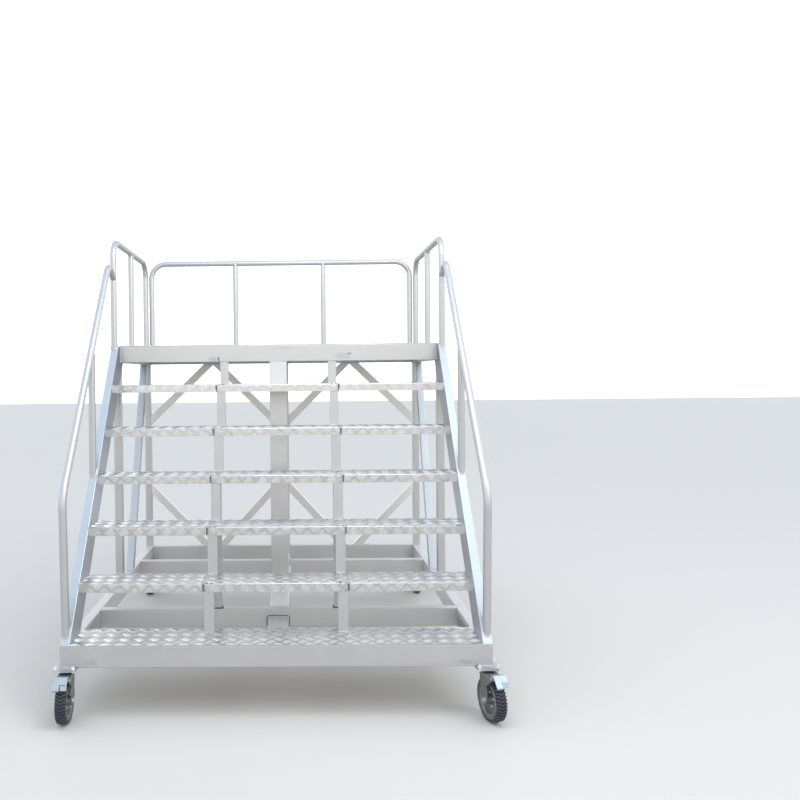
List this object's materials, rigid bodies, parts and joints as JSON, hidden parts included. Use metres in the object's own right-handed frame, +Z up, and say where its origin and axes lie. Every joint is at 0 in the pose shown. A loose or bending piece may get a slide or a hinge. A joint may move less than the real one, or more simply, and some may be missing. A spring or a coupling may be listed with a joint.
{
  "type": "mobile aircraft access stairs",
  "caption": "Mobile access stairs for aircraft: chequer plate treads on sloping stringers up to a guarded square platform, with handrails, a braced tube frame and swivel casters.",
  "frame": {"origin": "on the floor under the middle of the overall box, the casters standing on it", "axes": "+X to the right of a person climbing, +Y the way that person climbs, from the lowest tread to the rear guard, +Z up"},
  "size_m": [2.0724, 2.3158, 2.42],
  "materials": {
    "frame_tube": "mill finish drawn tube, satin",
    "chequer_plate": "bright rolled five-bar chequer plate",
    "rail_tube": "satin round tube",
    "caster_steel": "bright zinc plate",
    "wheel_rim": "satin grey",
    "tyre": "matt black rubber"
  },
  "bodies": {
    "frame": {"front_beam": "frame_tube", "rear_beam": "frame_tube", "side_beams": "frame_tube", "cross_beams": "frame_tube", "centre_beam": "frame_tube", "corner_plates": "frame_tube", "stringers": "frame_tube", "foot_tread": "chequer_plate", "treads": "chequer_plate", "tread_cleats": "frame_tube", "seam_ribs": "frame_tube", "tread_struts": "frame_tube", "middle_struts": "frame_tube", "platform_front_beam": "frame_tube", "platform_rear_beam": "frame_tube", "platform_side_beams": "frame_tube", "deck_joists": "frame_tube", "deck_plate": "chequer_plate", "columns": "frame_tube", "rear_posts": "frame_tube", "side_posts": "frame_tube", "upper_braces": "frame_tube", "lower_braces": "frame_tube", "side_diagonals": "frame_tube", "rear_guard": "rail_tube", "rear_balusters": "rail_tube", "side_guards": "rail_tube", "side_balusters": "rail_tube", "handrails": "rail_tube", "handrail_posts": "rail_tube", "caster_plate_front_left": "caster_steel", "caster_plate_front_right": "caster_steel", "caster_plate_rear_left": "caster_steel", "caster_plate_rear_right": "caster_steel"},
    "swivel_front_left": {"fork_front_left": "caster_steel", "pedal_front_left": "caster_steel", "axle_front_left": "caster_steel"},
    "wheel_front_left": {"rim_front_left": "wheel_rim", "tyre_front_left": "tyre"},
    "swivel_front_right": {"fork_front_right": "caster_steel", "pedal_front_right": "caster_steel", "axle_front_right": "caster_steel"},
    "wheel_front_right": {"rim_front_right": "wheel_rim", "tyre_front_right": "tyre"},
    "swivel_rear_left": {"fork_rear_left": "caster_steel", "pedal_rear_left": "caster_steel", "axle_rear_left": "caster_steel"},
    "wheel_rear_left": {"rim_rear_left": "wheel_rim", "tyre_rear_left": "tyre"},
    "swivel_rear_right": {"fork_rear_right": "caster_steel", "pedal_rear_right": "caster_steel", "axle_rear_right": "caster_steel"},
    "wheel_rear_right": {"rim_rear_right": "wheel_rim", "tyre_rear_right": "tyre"}
  },
  "joints": [
    {"name": "swivel_front_left", "type": "hinge", "parent": "frame", "child": "swivel_front_left", "pos_m": [-0.975, -1.003, 0.215], "axis": [0, 0, 1], "continuous": true},
    {"name": "wheel_front_left", "type": "hinge", "parent": "swivel_front_left", "child": "wheel_front_left", "pos_m": [-0.97195, -1.05291, 0.1], "axis": [0.9981, 0.061, 0], "continuous": true},
    {"name": "swivel_front_right", "type": "hinge", "parent": "frame", "child": "swivel_front_right", "pos_m": [0.975, -1.003, 0.215], "axis": [0, 0, 1], "continuous": true},
    {"name": "wheel_front_right", "type": "hinge", "parent": "swivel_front_right", "child": "wheel_front_right", "pos_m": [0.98794, -1.0513, 0.1], "axis": [0.9659, 0.2588, 0], "continuous": true},
    {"name": "swivel_rear_left", "type": "hinge", "parent": "frame", "child": "swivel_rear_left", "pos_m": [-0.975, 1.1, 0.215], "axis": [0, 0, 1], "continuous": true},
    {"name": "wheel_rear_left", "type": "hinge", "parent": "swivel_rear_left", "child": "wheel_rear_left", "pos_m": [-0.96891, 1.05037, 0.1], "axis": [0.9925, 0.1219, 0], "continuous": true},
    {"name": "swivel_rear_right", "type": "hinge", "parent": "frame", "child": "swivel_rear_right", "pos_m": [0.975, 1.1, 0.215], "axis": [0, 0, 1], "continuous": true},
    {"name": "wheel_rear_right", "type": "hinge", "parent": "swivel_rear_right", "child": "wheel_rear_right", "pos_m": [0.96977, 1.05027, 0.1], "axis": [0.9945, -0.1045, 0], "continuous": true}
  ]
}
